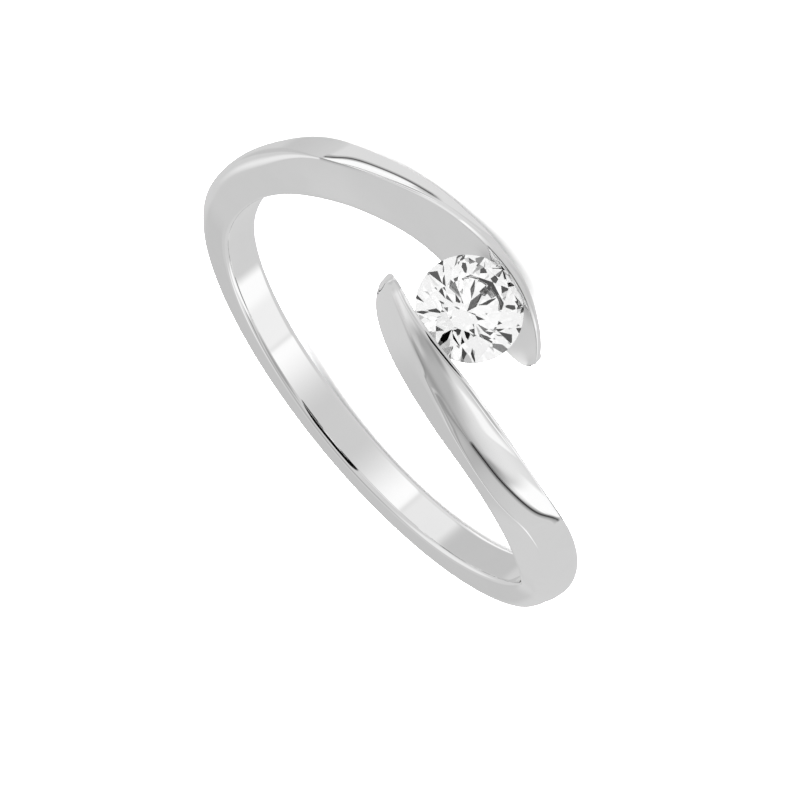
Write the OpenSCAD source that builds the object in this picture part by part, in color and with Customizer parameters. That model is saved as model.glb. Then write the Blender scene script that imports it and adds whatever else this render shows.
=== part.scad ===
// Bypass solitaire ring: one cast band whose two arms pass each other and grip a round brilliant.
// The ring lies on its side: finger hole upright, head and stone facing the front (-Y).

/* [Band] */
// Inside diameter of the finger hole
finger_d = 17.3; // [15:0.1:20]
// Width of the flat inside of the shank between its rounded rims
inner_w = 1.08; // [1:0.02:2]
// Full width of the shank over its side faces
shank_w = 1.6; // [1.5:0.02:2.4]
// Thickness of the shank from the finger to its outer face
shank_t = 1.65; // [1.4:0.05:2]
// How far the head sits to one side of the shank's middle
head_shift = 0.33; // [0:0.01:0.6]
// Height of the rounding along the inside rims
rim_round = 0.28; // [0.15:0.01:0.3]
// Angle past the stone at which the longer arm's tongue ends, in degrees
tongue_end = 17.9; // [17.4:0.1:18.5]
// How much earlier the shorter arm's tongue ends, in degrees
tongue_short = 1.7; // [1:0.1:2.4]

/* [Stone] */
// Diameter of the stone at its girdle
stone_d = 4; // [3.6:0.05:4]
// Height of the top of the girdle above the finger
stone_up = 2.9; // [2.7:0.05:3]
// Thickness of the girdle
girdle_t = 0.1; // [0.05:0.01:0.15]
// Table width corner to corner, as a share of the diameter
table_share = 0.56; // [0.5:0.01:0.65]
// Slope of the crown's main facets, in degrees
crown_angle = 34.5; // [30:0.5:37]
// Slope of the pavilion's main facets, in degrees
pavilion_angle = 40.8; // [39:0.2:42]
// Length of the star facets, as a share of the crown's slope
star_share = 0.5; // [0.4:0.05:0.6]
// Length of the lower girdle facets, as a share of the pavilion's slope
lower_share = 0.77; // [0.6:0.01:0.85]
// Turn of the facets about the stone's axis, in degrees
stone_turn = 10; // [0:1:45]

/* [Seat] */
// Gap left all round between the stone and the metal
seat_gap = 0.03; // [0.02:0.01:0.05]

/* [Rest] */
// Tilt about X that brings the lower arm and the back of the shank onto one plane, in degrees
rest_tilt = -7.1; // [-10:0.1:10]
// Tilt about Y that brings the ring's weight over that line, in degrees
rest_roll = -2.7; // [-10:0.1:10]
// How far the finger hole's middle lies behind the origin
rest_back = 1; // [0:0.01:2]
// Height of the finger hole's middle above the surface
rest_up = 2.06; // [1.5:0.01:3]

/* [Hidden] */
$fn = 96;

bore_r = finger_d / 2;
bore_len = 10; // length of the finger hole's cut, longer than the head is wide
half_w = shank_w / 2;
half_inner = inner_w / 2;

// The brilliant: eight mains on each side of the girdle, and two halves between each pair of them
stone_r = stone_d / 2;
mains = 8;
main_step = 360 / mains;
half_step = main_step / 2;
half_turn = half_step / 2;  // turn of a half from the girdle point that it shares with a main
main_lift = 0.004;          // distance that the mains stay short of the girdle's edge
table_r = stone_r * table_share;
table_side = table_r * cos(half_step);
table_h = (stone_r - table_r) * tan(crown_angle);
// Radii at which the halves between two mains end: at the stars, and towards the culet
star_r = table_side + star_share * (stone_r - table_side);
lower_r = stone_r * (1 - lower_share);
// Height there, and slope of the edge that two halves share, which stands out furthest
function meet_h(angle, r) = (stone_r - r * cos(half_step)) * tan(angle);
function edge_angle(angle, r) = atan(meet_h(angle, r) / (stone_r - r));

// Sections of one arm, from its tongue (negative angles, past the stone) to the back of the shank.
// Sideways distances count from the stone's axis, positive towards the other arm, and heights from
// the finger. The other arm is the same one turned half a turn about the stone's axis.
ANGLE = 0;      // place round the finger, 0 under the stone
INNER = 1;      // rim on the side that faces the stone
RIDGE = 2;      // top edge of the wall that faces the stone
RIDGE_H = 3;    // height of that edge
CREASE = 4;     // foot of the slope that falls from the ridge, where it meets the bank outside it
CREASE_H = 5;   // height of that foot
SHOULDER = 6;   // edge between that bank and the outer side
SHOULDER_H = 7; // height of that edge
OUTER = 8;      // rim on the outer side
RIDGE_R = 9;    // how far the rounding of the ridge reaches
CREASE_R = 10;  // how far the rounding of the crease reaches
SHOULDER_R = 11; // how far the rounding of the shoulder reaches
FLARE = 12;     // how far the side faces stand outside the rims
ARM = [
    [-19, -0.40, -0.50, 1.84, -0.80, 1.59, -1.05, 0.85, -1.29, 0.05, 0.12, 0.30, 0.03],
    [-16, -0.74, -0.87, 2.45, -1.25, 2.19, -1.46, 1.15, -1.63, 0.05, 0.14, 0.40, 0.03],
    [-12, -0.99, -1.31, 2.86, -1.65, 2.59, -1.86, 1.40, -2.01, 0.05, 0.15, 0.50, 0.03],
    [-6, -1.19, -1.71, 3.16, -2.15, 2.76, -2.31, 1.60, -2.39, 0.06, 0.16, 0.50, 0.03],
    [0, -1.29, -1.90, 3.33, -2.51, 2.60, -2.63, 1.75, -2.64, 0.07, 0.18, 0.45, 0.03],
    [8, -1.37, -1.89, 3.33, -2.62, 2.14, -2.86, 2.02, -2.82, 0.08, 0.18, 0.45, 0.03],
    [14, -1.40, -1.82, 3.15, -2.61, 1.80, -2.94, 1.70, -2.87, 0.08, 0.12, 0.25, 0.03],
    [20, -1.36, -1.70, 2.87, -2.55, 1.57, -2.96, 1.46, -2.88, 0.08, 0.04, 0.12, 0.03],
    [26, -1.25, -1.55, 2.56, -2.43, 1.46, -2.93, 1.32, -2.82, 0.08, 0.04, 0.12, 0.03],
    [32, -1.07, -1.38, 2.27, -2.27, 1.40, -2.83, 1.24, -2.74, 0.08, 0.04, 0.12, 0.04],
    [38, -0.89, -1.19, 2.05, -2.01, 1.44, -2.69, 1.26, -2.65, 0.07, 0.04, 0.12, 0.05],
    [42, -0.77, -1.07, 1.95, -1.78, 1.54, -2.50, 1.38, -2.59, 0.06, 0.04, 0.12, 0.06],
    [45, -0.67, -0.96, 1.90, -1.53, 1.66, -2.33, 1.52, -2.54, 0.06, 0.04, 0.12, 0.06],
    [48, -0.57, -0.86, 1.87, -1.02, 1.82, -2.22, 1.57, -2.49, 0.06, 0.04, 0.12, 0.07],
    [54, -0.38, -0.66, 1.81, -0.90, 1.76, -2.05, 1.58, -2.37, 0.15, 0.05, 0.35, 0.08],
    [68, -0.03, -0.13, 1.71, -0.93, 1.63, -1.75, 1.54, -2.05, 0.60, 0.05, 0.80, 0.12],
    [80, 0.15, 0.28, shank_t, -0.54, 1.57, -1.39, 1.50, -1.60, 0.78, 0.05, 0.80, 0.16],
    [92, 0.39, 0.60, shank_t, -0.21, 1.57, -1.03, 1.50, -1.06, 0.76, 0.05, 0.76, 0.19],
    [104, 0.53, 0.78, shank_t, -0.03, 1.61, -0.85, 1.58, -0.70, 0.74, 0.05, 0.74, 0.21],
    [120, half_inner, half_w, shank_t, 0, shank_t, -half_w, shank_t, -half_inner, 0.6, 0.05, 0.6, 0.23],
    [180, half_inner, half_w, shank_t, 0, shank_t, -half_w, shank_t, -half_inner, 0.6, 0.05, 0.6, 0.23],
];
// The crease ends in a point here; past it, it is a place on the straight line from ridge to shoulder
leaf_end = 49;
leaf_fade = 2.5;   // angle over which it comes up to that line
leaf_place = 0.12; // where on the line it starts, as a share, on its way to the middle
leaf_shift = 8;    // angle over which it gets there

function clamp(x) = max(0, min(1, x));
function soft_step(x) = let(u = clamp(x)) u * u * (3 - 2 * u);
function mix(a, b, u) = a + (b - a) * u;

// A smooth curve through the rows of the table: cubic between rows, level at the back of the shank
function row_of(a, i = 0) = i + 2 >= len(ARM) || ARM[i + 1][ANGLE] >= a ? i : row_of(a, i + 1);
function slope(i, c) =
    i == len(ARM) - 1 ? 0
    : let(lo = max(i - 1, 0)) (ARM[i + 1][c] - ARM[lo][c]) / (ARM[i + 1][ANGLE] - ARM[lo][ANGLE]);
function arm(c, a) =
    let(
        i = row_of(a),
        step = ARM[i + 1][ANGLE] - ARM[i][ANGLE],
        u = clamp((a - ARM[i][ANGLE]) / step)
    )
    (2 * pow(u, 3) - 3 * pow(u, 2) + 1) * ARM[i][c]
    + (pow(u, 3) - 2 * pow(u, 2) + u) * step * slope(i, c)
    + (3 * pow(u, 2) - 2 * pow(u, 3)) * ARM[i + 1][c]
    + (pow(u, 3) - pow(u, 2)) * step * slope(i + 1, c);

// A corner rounded off by a conic that leaves each side at a given distance from the corner
corner_share = 0.48; // most of a side that a rounding may take
dome_share = 0.95;   // the same where the crease is only a place on a straight side
corner_weight = 0.8; // higher pulls the rounding towards the corner
function toward(p, q, d, share = corner_share) =
    p + (q - p) / norm(q - p) * min(d, share * norm(q - p));
function conic(a, p, b, u, w) =
    let(m = 2 * w * u * (1 - u), s = pow(1 - u, 2) + m + u * u)
    (pow(1 - u, 2) * a + m * p + u * u * b) / s;
function rounded(prev, p, next, d, n, before = corner_share, after = corner_share) =
    let(a = toward(p, prev, d, before), b = toward(p, next, d, after))
    [for (i = [0 : n - 1]) conic(a, p, b, i / (n - 1), corner_weight)];

// One section as [sideways, height] points: rim, ridge, crease, shoulder, rim, then inside the
// finger hole
rim_pts = 3;
corner_pts = 5;
crease_pts = 3;
rim_sunk = 0.03; // depth of the rims below the finger hole's wall, which trims them
sunk = 0.35;     // depth of the points between them
function section(a) =
    let(
        inner = arm(INNER, a),
        outer = arm(OUTER, a),
        flare = arm(FLARE, a),
        rim_in = [inner, -rim_sunk],
        rim_out = [outer, -rim_sunk],
        foot_in = [inner + flare, 0],
        foot_out = [outer - flare, 0],
        ridge = [arm(RIDGE, a), arm(RIDGE_H, a)],
        shoulder = [arm(SHOULDER, a), arm(SHOULDER_H, a)],
        past = soft_step((a - leaf_end + leaf_fade) / leaf_fade),
        place = mix(leaf_place, 0.5, soft_step((a - leaf_end) / leaf_shift)),
        crease = mix([arm(CREASE, a), arm(CREASE_H, a)], mix(ridge, shoulder, place), past),
        share = mix(corner_share, dome_share, past),
        side_in = toward(foot_in, ridge, rim_round),
        side_out = toward(foot_out, shoulder, rim_round)
    )
    concat(
        [for (i = [0 : rim_pts - 1]) conic(rim_in, foot_in, side_in, i / (rim_pts - 1), 1)],
        rounded(foot_in, ridge, crease, arm(RIDGE_R, a), corner_pts, after = share),
        rounded(ridge, crease, shoulder, arm(CREASE_R, a), crease_pts),
        rounded(crease, shoulder, foot_out, arm(SHOULDER_R, a), corner_pts, before = share),
        [for (i = [0 : rim_pts - 1]) conic(side_out, foot_out, rim_out, i / (rim_pts - 1), 1)],
        [[outer + sunk / 2, -sunk], [inner - sunk / 2, -sunk]]
    );

// The tongue: near its end the section closes in from the top, the finger side and the flanks. Each
// closing has the angle at which it starts and a power: 2 is an ellipse, more is squarer
END = 0;   // angle past the stone at which a tongue ends
LEVEL = 1; // height that the top and the finger side close towards
TOP = 2;   // closing of the top
FOOT = 3;  // closing of the finger side
FLANK = 4; // closing of the flanks
LEAST = 5; // share of its width that the tongue keeps at its end
function tongue_of(side) =
    side > 0
    ? [tongue_end - tongue_short, 2, [14.4, 3.5], [9.7, 1.4], [13, 3.2], 0.3]
    : [tongue_end, 0.8, [10, 1.7], [12, 1.8], [14.3, 2.2], 0.3];
function closing(a, end, way) =
    let(v = clamp((-way[0] - a) / (end - way[0]))) pow(1 - pow(v, way[1]), 1 / way[1]);
function tongue(a, side) =
    let(
        t = tongue_of(side),
        top = closing(a, t[END], t[TOP]),
        foot = closing(a, t[END], t[FOOT]),
        flank = mix(t[LEAST], 1, closing(a, t[END], t[FLANK])),
        mid = (arm(INNER, a) + arm(RIDGE, a) + arm(CREASE, a) + arm(OUTER, a)) / 4
    )
    [for (p = section(a)) [
        mix(mid, p[0], flank),
        mix(t[LEVEL], p[1], p[1] > t[LEVEL] ? top : foot)
    ]];

// Places a section round the finger, on one arm (side 1) or the other (side -1)
side_fade = [60, 110];
function aside(a, side, h) =
    side * h - head_shift * (1 - soft_step((a - side_fade[0]) / (side_fade[1] - side_fade[0])));
// The shank is a little thicker on one side of the finger than on the other
SHARE = 0; // share of its height that is added
START = 1; // angle at which that begins
FULL = 2;  // angle at which it is complete
function swell_of(side) = side > 0 ? [0.075, 66, 84] : [-0.13, 50, 68];
swell_down = [97, 112]; // angles over which it goes away again
function swelling(a, side) =
    let(s = swell_of(side))
    1 + s[SHARE]
    * soft_step((a - s[START]) / (s[FULL] - s[START]))
    * soft_step((swell_down[1] - a) / (swell_down[1] - swell_down[0]));
function ring_at(a, side, p) =
    let(r = bore_r + p[1] * swelling(a, side))
    [side * r * sin(a), -r * cos(a), aside(a, side, p[0])];
function loop(a, side) = [for (p = tongue(a, side)) ring_at(a, side, p)];
function backwards(list) = [for (i = [len(list) - 1 : -1 : 0]) list[i]];

// Angles of the sections, closer together where the tongue ends
tongue_steps = 9;
tongue_len = 6.3;
head_angles = [-7.5 : 3 : 58.5];
shank_angles = [63 : 5 : 178];
function stations(side) = concat(
    [for (i = [1 : tongue_steps]) -tongue_of(side)[END] + tongue_len * pow(i / tongue_steps, 2)],
    [for (a = head_angles) a],
    [for (a = shank_angles) a]
);
// The rim, ridge, crease, shoulder and rim points of the first arm run the other way round on the
// second, so that both meet in one ring of points at the back of the shank
ring_pts = 2 * rim_pts + 2 * corner_pts + crease_pts;
function second(list) = [
    for (i = [0 : ring_pts - 1]) list[ring_pts - 1 - i],
    list[ring_pts + 1],
    list[ring_pts]
];

module loft(loops) {
    n = len(loops[0]);
    last = len(loops) - 1;
    mid = [for (end = [loops[0], loops[last]]) mean(end)];
    points = concat([for (l = loops) each l], mid);
    sides = [for (i = [0 : last - 1], j = [0 : n - 1])
        let(k = (j + 1) % n, a = i * n + j, b = i * n + k, c = a + n, d = b + n)
        each [[a, d, b], [a, c, d]]];
    caps = [for (j = [0 : n - 1])
        let(k = (j + 1) % n)
        each [[(last + 1) * n, j, k], [(last + 1) * n + 1, last * n + k, last * n + j]]];
    polyhedron(points, concat(sides, caps), convexity = 6);
}
function mean(list) = [for (axis = [0 : 2]) sum([for (p = list) p[axis]]) / len(list)];
function sum(v, i = 0) = i == len(v) ? 0 : v[i] + sum(v, i + 1);

// The seat follows the stone's outline with a small gap: girdle groove, bearing and crown lip
lip_h = 0.5;     // height that the cut reaches above the girdle
bearing_h = 1;   // depth that it reaches below the girdle
module seat() {
    r = stone_r + seat_gap;
    rotate_extrude()
        polygon([
            [0, lip_h],
            [r - lip_h / tan(edge_angle(crown_angle, star_r)), lip_h],
            [r, 0],
            [r, -girdle_t],
            [r - bearing_h / tan(edge_angle(pavilion_angle, lower_r)), -girdle_t - bearing_h],
            [0, -girdle_t - bearing_h]
        ]);
}

// Moves a shape with its axis along Z to the stone's place, facing the front
module at_stone() {
    translate([0, -bore_r - stone_up, -head_shift])
        rotate([90, 0, 0])
            children();
}

module lying() {
    translate([0, rest_back, rest_up])
        rotate([rest_tilt, rest_roll, 0])
            children();
}

module band() {
    color("silver")
        lying()
            difference() {
                loft(concat(
                    [for (a = stations(1)) loop(a, 1)],
                    [for (a = backwards(stations(-1))) second(loop(a, -1))]
                ));
                translate([0, 0, -bore_len / 2])
                    cylinder(r = bore_r, h = bore_len);
                at_stone()
                    seat();
            }
}

// Removes all above a plane that slopes down outwards at an angle, at a distance along its normal
module facet(turn, angle, reach) {
    big = 3 * stone_r;
    rotate([0, 0, turn])
        rotate([0, angle, 0])
            translate([-big / 2, -big / 2, reach])
                cube([big, big, big]);
}

// Mains and halves on one side of the girdle
module facets(main_angle, r) {
    half_angle = atan(meet_h(main_angle, r) / ((stone_r - r) * cos(half_turn)));
    for (k = [0 : mains - 1])
        facet(main_step * k, main_angle, stone_r * sin(main_angle) + main_lift);
    for (k = [0 : 2 * mains - 1])
        facet(half_step * k + half_turn, half_angle, stone_r * cos(half_turn) * sin(half_angle));
}

module stars() {
    star_h = meet_h(crown_angle, star_r);
    star_angle = atan((table_h - star_h) / (star_r - table_side));
    for (k = [0 : mains - 1])
        facet(
            main_step * k + half_step,
            star_angle,
            table_h * cos(star_angle) + table_side * sin(star_angle)
        );
}

module stone() {
    blank_h = 1.1 * stone_r * tan(pavilion_angle); // a little longer than the pavilion
    color("white")
        lying()
            at_stone()
                rotate([0, 0, stone_turn])
                    difference() {
                        translate([0, 0, -girdle_t - blank_h])
                            cylinder(r = stone_r, h = table_h + girdle_t + blank_h);
                        facets(crown_angle, star_r);
                        stars();
                        translate([0, 0, -girdle_t])
                            mirror([0, 0, 1])
                                facets(pavilion_angle, lower_r);
                    }
}

band();
stone();
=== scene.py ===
# %% [markdown]
# # A bypass solitaire ring in Blender
# The ring is one casting in polished silver: a narrow shank whose two ends grow into tall arms,
# pass each other and hold a round cubic zirconia between them, with no claws. Two pieces are
# modelled here, the band and the stone. Both stand exactly where the packed model has them.

import math

import bmesh
import bpy
import numpy as np
from mathutils import Matrix


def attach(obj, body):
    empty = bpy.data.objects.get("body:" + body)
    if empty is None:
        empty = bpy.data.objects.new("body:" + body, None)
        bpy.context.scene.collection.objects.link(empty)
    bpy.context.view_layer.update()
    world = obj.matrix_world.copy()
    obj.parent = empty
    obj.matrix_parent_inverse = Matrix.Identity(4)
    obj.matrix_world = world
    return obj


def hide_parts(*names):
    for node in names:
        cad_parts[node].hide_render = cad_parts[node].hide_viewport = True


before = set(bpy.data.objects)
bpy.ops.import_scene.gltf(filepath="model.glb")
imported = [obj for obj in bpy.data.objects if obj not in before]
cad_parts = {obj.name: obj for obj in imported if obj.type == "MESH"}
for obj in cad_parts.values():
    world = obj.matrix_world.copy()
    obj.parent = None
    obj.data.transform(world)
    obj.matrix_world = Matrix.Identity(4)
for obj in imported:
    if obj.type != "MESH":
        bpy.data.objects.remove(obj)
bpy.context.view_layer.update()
MM = 0.001
print("packed nodes:", sorted(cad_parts))

# %% [markdown]
# ## The camera
# A jewellery picture is taken with a long lens from well away, so that the round hole and the
# stone keep their proportions. The camera could be placed by eye, but here its direction, its
# distance and its roll are named, because they decide which side of every arm is seen. The ring
# lies on its side, and the picture is rolled so that it appears to hang from its upper arm.

# %% Camera
LENS_MM = 298.4
VIEW_DISTANCE = 248.6 * MM
VIEW_AZIMUTH = math.radians(3.31)
VIEW_ELEVATION = math.radians(24.73)
VIEW_ROLL = math.radians(125.88)
AIM = np.array([-0.569, 1.091, 2.185]) * MM
CLIP_START = 10 * MM


def make_camera():
    """Looks at AIM along a direction given by an azimuth from +Y towards +X and an elevation, then
    rolls: the picture's up is the level up turned towards the picture's right by the roll."""
    ahead = np.array([
        math.sin(VIEW_AZIMUTH) * math.cos(VIEW_ELEVATION),
        math.cos(VIEW_AZIMUTH) * math.cos(VIEW_ELEVATION),
        -math.sin(VIEW_ELEVATION),
    ])
    level_right = np.array([math.cos(VIEW_AZIMUTH), -math.sin(VIEW_AZIMUTH), 0.0])
    level_up = np.cross(level_right, ahead)
    up = math.cos(VIEW_ROLL) * level_up + math.sin(VIEW_ROLL) * level_right
    right = np.cross(ahead, up)
    place = AIM - VIEW_DISTANCE * ahead
    camera = bpy.data.objects.new("camera", bpy.data.cameras.new("camera"))
    bpy.context.scene.collection.objects.link(camera)
    camera.matrix_world = Matrix(np.vstack([
        np.column_stack([right, up, -ahead, place]), [0, 0, 0, 1],
    ]).tolist())
    camera.data.lens = LENS_MM
    camera.data.clip_start = CLIP_START
    bpy.context.scene.camera = camera
    return camera


make_camera()
print("camera at mm:", [round(v / MM, 1) for v in bpy.context.scene.camera.location])

# %% [markdown]
# ## The ring's own frame
# The arms are easiest to describe round the finger hole: Z along the hole, the stone at -Y. The
# finished ring lies tilted on the floor, so that the lower arm and the back of the shank touch
# it. Each mesh is therefore worked out upright and turned once at the end, in its vertices, so
# that the objects themselves stay at the origin.

# %% From the ring's frame to where it lies
BORE_R = 8.65
HEAD_SHIFT = 0.33
STONE_UP = 2.9
REST_TILT = math.radians(-7.1)
REST_ROLL = math.radians(-2.7)
REST_AT = np.array([0.0, 1.0, 2.06])


def turn_x(angle):
    """Rotation about X: y turns towards z by the angle."""
    c, s = math.cos(angle), math.sin(angle)
    return np.array([[1, 0, 0], [0, c, -s], [0, s, c]])


def turn_y(angle):
    """Rotation about Y: z turns towards x by the angle."""
    c, s = math.cos(angle), math.sin(angle)
    return np.array([[c, 0, s], [0, 1, 0], [-s, 0, c]])


LYING = turn_y(REST_ROLL) @ turn_x(REST_TILT)


def lying(points_mm):
    """Ring's frame in millimetres to the floor's frame in metres: a tilt about X, a roll about Y
    and a shift."""
    return (points_mm @ LYING.T + REST_AT) * MM


def from_stone(points_mm):
    """Stone's frame, Z along its axis and the girdle's top at 0, to the ring's frame: the axis
    points to -Y, at the head's shift along the hole."""
    x, y, z = points_mm.T
    return np.column_stack([x, -z - BORE_R - STONE_UP, y - HEAD_SHIFT])


print("bore axis on the floor:", (LYING @ [0, 0, 1]).round(4))

# %% [markdown]
# ## The arm
# On the real ring each arm comes from the mould taller than wide and is filed up by hand. An
# upright wall faces the stone and ends in a crisp ridge. From the ridge a hollow crown, shaped
# like a leaf, falls to a crease, and outside the crease a gently falling bank meets the outer
# side at a shoulder. The leaf ends in a point where the arm becomes the shank. A box model with
# subdivision could give such a shape, but its ridge would wander. Here the arm is a section
# carried round the finger, and a short table says how the section changes: a row for each angle
# from the stone, with sideways places, heights and roundings in millimetres. Both arms follow
# the same table, turned half a turn about the stone.

# %% Table of the arm
HALF_W = 0.8
HALF_INNER = 0.54
SHANK_T = 1.65
COLUMNS = (
    "angle", "inner", "ridge", "ridge_h", "crease", "crease_h", "shoulder", "shoulder_h", "outer",
    "ridge_r", "crease_r", "shoulder_r", "flare",
)
ARM = np.array([
    [-19, -0.40, -0.50, 1.84, -0.80, 1.59, -1.05, 0.85, -1.29, 0.05, 0.12, 0.30, 0.03],
    [-16, -0.74, -0.87, 2.45, -1.25, 2.19, -1.46, 1.15, -1.63, 0.05, 0.14, 0.40, 0.03],
    [-12, -0.99, -1.31, 2.86, -1.65, 2.59, -1.86, 1.40, -2.01, 0.05, 0.15, 0.50, 0.03],
    [-6, -1.19, -1.71, 3.16, -2.15, 2.76, -2.31, 1.60, -2.39, 0.06, 0.16, 0.50, 0.03],
    [0, -1.29, -1.90, 3.33, -2.51, 2.60, -2.63, 1.75, -2.64, 0.07, 0.18, 0.45, 0.03],
    [8, -1.37, -1.89, 3.33, -2.62, 2.14, -2.86, 2.02, -2.82, 0.08, 0.18, 0.45, 0.03],
    [14, -1.40, -1.82, 3.15, -2.61, 1.80, -2.94, 1.70, -2.87, 0.08, 0.12, 0.25, 0.03],
    [20, -1.36, -1.70, 2.87, -2.55, 1.57, -2.96, 1.46, -2.88, 0.08, 0.03, 0.10, 0.03],
    [26, -1.25, -1.55, 2.56, -2.43, 1.46, -2.93, 1.32, -2.82, 0.08, 0.03, 0.06, 0.03],
    [32, -1.07, -1.38, 2.27, -2.27, 1.40, -2.83, 1.24, -2.74, 0.08, 0.03, 0.05, 0.04],
    [38, -0.89, -1.19, 2.05, -2.01, 1.44, -2.69, 1.26, -2.65, 0.07, 0.03, 0.05, 0.05],
    [42, -0.77, -1.07, 1.95, -1.78, 1.54, -2.50, 1.38, -2.59, 0.06, 0.03, 0.06, 0.06],
    [45, -0.67, -0.96, 1.90, -1.53, 1.66, -2.33, 1.52, -2.54, 0.05, 0.03, 0.06, 0.06],
    [48, -0.57, -0.86, 1.87, -1.02, 1.82, -2.22, 1.57, -2.49, 0.05, 0.03, 0.05, 0.07],
    [54, -0.38, -0.66, 1.81, -0.90, 1.76, -2.05, 1.58, -2.37, 0.15, 0.03, 0.05, 0.08],
    [68, -0.03, -0.13, 1.71, -0.93, 1.63, -1.75, 1.54, -2.05, 0.60, 0.03, 0.60, 0.12],
    [80, 0.15, 0.28, SHANK_T, -0.54, 1.57, -1.39, 1.50, -1.60, 0.78, 0.03, 0.80, 0.16],
    [92, 0.39, 0.60, SHANK_T, -0.21, 1.57, -1.03, 1.50, -1.06, 0.76, 0.03, 0.76, 0.19],
    [104, 0.53, 0.78, SHANK_T, -0.03, 1.61, -0.85, 1.58, -0.70, 0.74, 0.03, 0.74, 0.21],
    [120, HALF_INNER, HALF_W, SHANK_T, 0, SHANK_T, -HALF_W, SHANK_T, -HALF_INNER, 0.6, 0.03, 0.6, 0.23],
    [180, HALF_INNER, HALF_W, SHANK_T, 0, SHANK_T, -HALF_W, SHANK_T, -HALF_INNER, 0.6, 0.03, 0.6, 0.23],
])
print("table of the arm:", len(ARM), "rows of", ARM.shape[1], "columns")

# %% [markdown]
# ## Fair curves
# A file and a polishing stick even out an arm along its length, and polish shows any place where
# they didn't. Straight lines between the rows would show as facets and a spline through them as
# waves. So each column becomes a cubic curve first and is then averaged over a few degrees, less
# for the crease, whose bends are real.

# %% Fair curves through the table
FAIR_STEP = 0.25
FAIR_REACH = 2.5
CREASE_REACH = 1.2
KERNEL_REACHES = 4


def fair_curves():
    """Every column as a fine curve over the angle: a cubic through the rows with the slope of the
    neighbouring rows, then a Gaussian average, because polish shows any jump in curvature."""
    rows = ARM[:, 0]
    slopes = np.vstack([
        (ARM[1] - ARM[0]) / (rows[1] - rows[0]),
        (ARM[2:] - ARM[:-2]) / (rows[2:] - rows[:-2])[:, None],
        np.zeros(len(COLUMNS)),
    ])
    angles = np.arange(rows[0], rows[-1] + FAIR_STEP / 2, FAIR_STEP)
    i = np.clip(np.searchsorted(rows, angles, side="right") - 1, 0, len(rows) - 2)
    step = (rows[i + 1] - rows[i])[:, None]
    u = ((angles - rows[i]) / step[:, 0])[:, None]
    curve = (
        (2 * u**3 - 3 * u**2 + 1) * ARM[i] + (u**3 - 2 * u**2 + u) * step * slopes[i]
        + (3 * u**2 - 2 * u**3) * ARM[i + 1] + (u**3 - u**2) * step * slopes[i + 1]
    )
    half = int(KERNEL_REACHES * FAIR_REACH / FAIR_STEP)
    ends = [curve[0] + (curve[0] - curve[1]) * k for k in range(half, 0, -1)]
    padded = np.vstack([ends, curve, np.repeat(curve[-1:], half, axis=0)])
    smooth = {}
    for name, column in zip(COLUMNS, padded.T):
        reach = CREASE_REACH if name.startswith("crease") else FAIR_REACH
        kernel = np.exp(-0.5 * (np.arange(-half, half + 1) * FAIR_STEP / reach) ** 2)
        smooth[name] = np.convolve(column, kernel / kernel.sum(), mode="valid")
    return angles, smooth


FAIR_ANGLES, FAIR = fair_curves()


def arm(column, angles):
    """A column's value at any angles, on the straight line between two fine steps."""
    return np.interp(angles, FAIR_ANGLES, FAIR[column])


print("tallest ridge:", round(float(FAIR["ridge_h"].max()), 3), "mm above the finger")

# %% [markdown]
# ## The section
# Seen in section, every edge of polished metal is a small curve, and the width of that curve is
# the width of the highlight on it. So each corner is a conic that leaves its sides smoothly.
# A bevel modifier could round them too, but its width is one number, and here every corner has
# its own, which changes along the arm.

# %% Roundings and straight lines
CORNER_SHARE = 0.48
CORNER_WEIGHT = 0.8


def soft_step(x):
    """0 below 0, 1 above 1, and 3x^2 - 2x^3 between."""
    u = np.clip(x, 0, 1)
    return u * u * (3 - 2 * u)


def pair(sideways, height):
    """Points of a section from their sideways places and their heights."""
    return np.stack(np.broadcast_arrays(sideways, height), axis=-1)


def toward(p, q, reach, share=CORNER_SHARE):
    """The point on the side from p to q that a rounding starts at, at most a share of the side."""
    side = q - p
    length = np.linalg.norm(side, axis=-1, keepdims=True)
    reach = np.minimum(np.broadcast_to(reach, length.shape[:-1])[..., None], share * length)
    return p + side / length * reach


def conic(a, p, b, weight, count):
    """From a to b, bending towards p: Bernstein weights (1-u)^2, 2wu(1-u) and u^2, over their sum."""
    u = np.linspace(0, 1, count)[:, None]
    parts = ((1 - u) ** 2, 2 * weight * u * (1 - u), u**2)
    blend = parts[0] * a[:, None] + parts[1] * p[:, None] + parts[2] * b[:, None]
    return blend / sum(parts)


def straight(a, b, count, sag=0):
    """The points between a and b, without the two ends and closer together towards them, sunk by
    a share of the length: 4 s u(1-u) times the side turned by a right angle."""
    u = (1 - np.cos(np.linspace(0, math.pi, count + 2)[1:-1, None])) / 2
    side = (b - a) @ np.array([[0, 1], [-1, 0]])
    sunk = 4 * u * (1 - u) * np.broadcast_to(sag, len(a))[:, None, None]
    return (1 - u) * a[:, None] + u * b[:, None] + sunk * side[:, None]


def corner(before, p, after, reach, count, share_before=CORNER_SHARE, share_after=CORNER_SHARE):
    """The corner p rounded: a conic from the reach before it to the reach after it."""
    start = toward(p, before, reach, share_before)
    end = toward(p, after, reach, share_after)
    return conic(start, p, end, CORNER_WEIGHT, count)


square = [np.array([place], float) for place in ((1, 0), (1, 1), (0, 1))]
print("a square corner rounded by 0.3:", corner(*square, 0.3, 3)[0].round(3).tolist())

# %% [markdown]
# ## The ridge
# Beside the stone the real ridge isn't one edge. The setter presses the metal against the girdle
# with a flat punch, which leaves a narrow land between two small edges, and the land shows as a
# thin bright stripe. A texture could paint the stripe, but it wouldn't move with the light. So
# the land is shaped, and it fades into a single rounding away from the stone.

# %% The ridge and its land
LAND_W = 0.16
LIP_R = 0.03
BROW_R = 0.06
LAND_FROM = (-17, -9)
LAND_UNTIL = (16, 34)
RIDGE_POINTS = 12
LAND_POINTS = 2


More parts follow.
